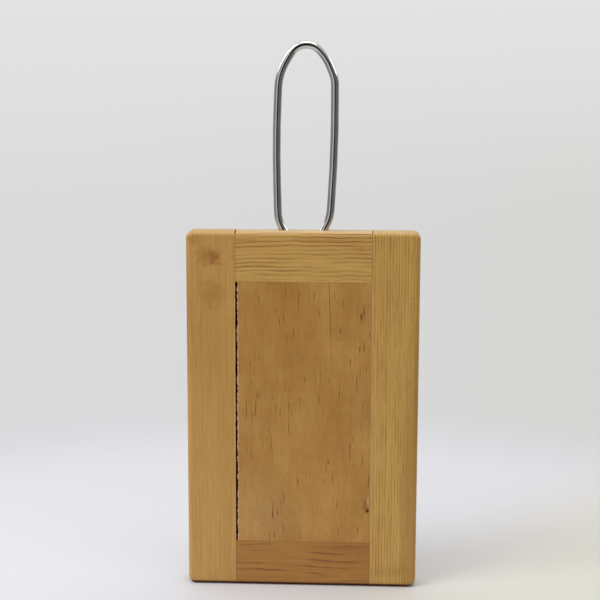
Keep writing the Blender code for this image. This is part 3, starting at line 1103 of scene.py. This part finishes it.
for node, piece in list(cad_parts.items()):
    if node.startswith("handle_pin_"):
        makePin(node)
    if node.startswith("dowel_"):
        piece.data.materials.clear()
        piece.data.materials.append(beech)
print("pins and dowels made")


floorFacts = {
    "radius": 1.5,
    "sides": 96,
    "fade": (0.37, 0.64),
    "color": (0.592, 0.592, 0.618),
    # painted warm shadow beside the board's right side
    "paintedWarmShadowColor": (0.560, 0.545, 0.468),
    "paintedWarmShadowRange": (-0.06, 0.22),
    "grain": ((60, 60, 60), 3.0, 0.5, 1.0),
    "grainColor": (0.3, 0.3, 0.3),
    "grainAmount": 0.02,
    "roughness": 0.55,
}


def floorFinish(facts):
    # pale and plain, with a painted warm shadow towards the right and the front, fading into the wall
    # behind
    paint = Paint("pale floor")
    x, y, z = paint.objectPlace()
    grain = paint.noise((x, y, z), facts["grain"])
    # painted warm shadow: darker and warmer to the right and towards the front
    right = paint.rise(x - y * 0.8, *facts["paintedWarmShadowRange"])
    color = paint.mix(right, facts["color"], facts["paintedWarmShadowColor"])
    color = paint.mix(grain * facts["grainAmount"], color, facts["grainColor"])
    solid = paint.add("BsdfPrincipled", {}, {"Base Color": color, "Roughness": facts["roughness"]})
    clear = paint.add("BsdfTransparent")
    faded = paint.rise(paint.maths("SQRT", x * x + y * y), *facts["fade"])
    return paint.surface(paint.add("MixShader", {}, {0: faded, 1: solid, 2: clear}))


def makeFloor(facts):
    clearPick()
    bpy.ops.mesh.primitive_circle_add(
        vertices=facts["sides"], radius=facts["radius"], fill_type="NGON",
        location=(0.0, 0.0, boardLow.z),
    )
    piece = bpy.context.object
    piece.name = "floor"
    piece.data.materials.append(floorFinish(facts))


worldFacts = {
    # what the camera sees behind the object
    "wallLeft": (0.700, 0.697, 0.712),
    "wallRight": (0.668, 0.670, 0.655),
    "wallTop": (0.780, 0.770, 0.778),
    "wallAcross": (-0.25, 0.25),
    "wallUp": (-0.10, 0.12),
    # brightness of the room that lights it and shows in the steel
    "left": 0.34,
    "right": 0.17,
    "leftToRight": (-0.9, 0.9),
    "behind": 0.38,
    "behindDepth": (-0.1, 0.6),
    "above": 0.72,
    "aboveHeight": (0.25, 0.85),
    "skylight": 0.93,
    "skylightHeight": (0.14, 0.42),
    "skylightDepth": (0.05, 0.35),
    "glint": 2.60,
    "glintHeight": (0.26, 0.36),
    "glintTop": (0.52, 0.62),
    "glintSide": (0.62, 0.80),
    "glintDepth": (-0.15, 0.05),
    "rearDepth": (0.0, 0.3),
    "frontDepth": (-0.3, 0.0),
    "cameraSideHeight": (0.45, 0.75),
    "blueness": 1.02,
    # upright bands of the room: brightness, place from left to right, half widths
    "doorway": (0.16, -0.08, (0.10, 0.32)),
    "glow": (0.60, 0.60, (0.05, 0.20)),
    "window": (0.95, -0.52, (0.06, 0.20)),
    "cameraSide": (0.01, 0.09, (0.18, 0.32)),
}


def makeWorld(facts):
    # a soft room of uneven brightness; the camera itself sees only plain walls
    world = bpy.data.worlds.new("studio")
    bpy.context.scene.world = world
    paint = Paint("studio", world)
    place = paint.add("TexCoord", {}, {}, "Generated")
    x, y, z = [paint.add("SeparateXYZ", {}, {0: place}, axis) for axis in range(3)]
    flat = paint.maths("SQRT", x * x + y * y)
    sideways = x / flat

    def blend(level, mask, value):
        return level + mask * (value - level)

    def band(level, name, mask):
        value, middle, widths = facts[name]
        return blend(level, paint.fall(abs(sideways - middle), *widths) * mask, value)

    rear = paint.rise(y, *facts["rearDepth"])
    front = paint.fall(y, *facts["frontDepth"])
    level = paint.rise(sideways, *facts["leftToRight"]) * (facts["right"] - facts["left"]) + facts["left"]
    level = blend(level, paint.rise(y / flat, *facts["behindDepth"]), facts["behind"])
    level = band(level, "doorway", rear)
    level = band(level, "glow", rear)
    level = band(level, "window", front)
    level = band(level, "cameraSide", front * paint.fall(abs(z), *facts["cameraSideHeight"]))
    level = blend(level, paint.rise(z, *facts["aboveHeight"]), facts["above"])
    skylight = paint.rise(z, *facts["skylightHeight"]) * paint.rise(y, *facts["skylightDepth"])
    level = blend(level, skylight, facts["skylight"])
    glint = paint.rise(z, *facts["glintHeight"]) * paint.fall(z, *facts["glintTop"])
    glint = glint * paint.rise(abs(sideways), *facts["glintSide"]) * paint.rise(y, *facts["glintDepth"])
    level = blend(level, glint, facts["glint"])
    light = paint.add("CombineColor", {}, {0: level, 1: level, 2: level * facts["blueness"]})
    wall = paint.mix(paint.rise(x, *facts["wallAcross"]), facts["wallLeft"], facts["wallRight"])
    wall = paint.mix(paint.rise(z, *facts["wallUp"]), wall, facts["wallTop"])
    seen = paint.add("LightPath", {}, {}, "Is Camera Ray")
    background = paint.add(
        "Background", {}, {"Color": paint.mix(seen, light, wall), "Strength": 1.0}
    )
    paint.add("OutputWorld", {}, {"Surface": background})


lampFacts = (
    {"name": "key softbox", "place": (-1.15, -0.75, 1.75), "size": (0.9, 0.9), "power": 19.5,
     "glossy": True},
    {"name": "top softbox", "place": (0.10, -0.40, 2.00), "size": (1.3, 0.9), "power": 12.5,
     "glossy": True},
    {"name": "fill", "place": (1.70, -1.20, 0.70), "size": (0.8, 1.0), "power": 2.0, "glossy": False},
)
lampAim = Vector((0.0, 0.0, 0.2))


def makeLamp(facts):
    light = bpy.data.lights.new(facts["name"], "AREA")
    light.shape = "RECTANGLE"
    light.size, light.size_y = facts["size"]
    light.energy = facts["power"]
    lamp = bpy.data.objects.new(facts["name"], light)
    bpy.context.scene.collection.objects.link(lamp)
    lamp.location = facts["place"]
    lamp.visible_glossy = facts["glossy"]
    lamp.rotation_euler = (lampAim - lamp.location).to_track_quat("-Z", "Y").to_euler()


makeFloor(floorFacts)
makeWorld(worldFacts)
for lamp in lampFacts:
    makeLamp(lamp)
bpy.context.scene.view_settings.view_transform = "Standard"
print("floor and light made")

clearPick()
